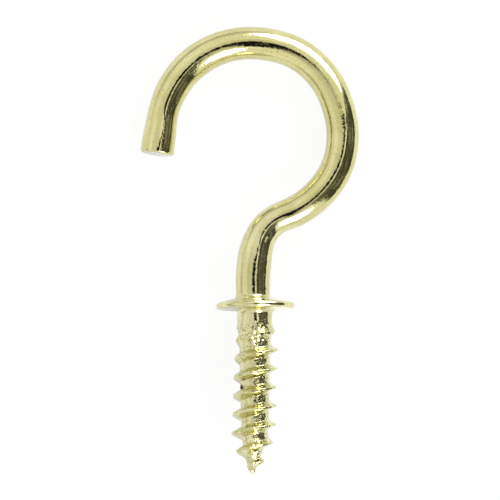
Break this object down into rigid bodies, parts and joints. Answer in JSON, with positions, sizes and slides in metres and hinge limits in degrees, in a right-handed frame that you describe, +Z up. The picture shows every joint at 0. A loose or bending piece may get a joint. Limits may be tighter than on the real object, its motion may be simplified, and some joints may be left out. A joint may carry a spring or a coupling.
{
  "type": "cup hook",
  "caption": "Round-wire cup hook: an open ring, offset by a reverse bend from a shank with a round collar and a pointed wood screw.",
  "frame": {"origin": "on the table, below the middle of the hook's box as it lies", "axes": "+Y from the screw's point towards the top of the ring, +X across the ring away from its cut end, +Z up from the table, with the hook leaning on its collar and ring"},
  "size_m": [0.0193, 0.0394, 0.0069],
  "materials": {
    "brass_plate": "bright drawn wire with a thin pale brass plating, fine lengthwise draw lines and small pits"
  },
  "bodies": {
    "root": {"cup_hook": "brass_plate"}
  },
  "joints": []
}
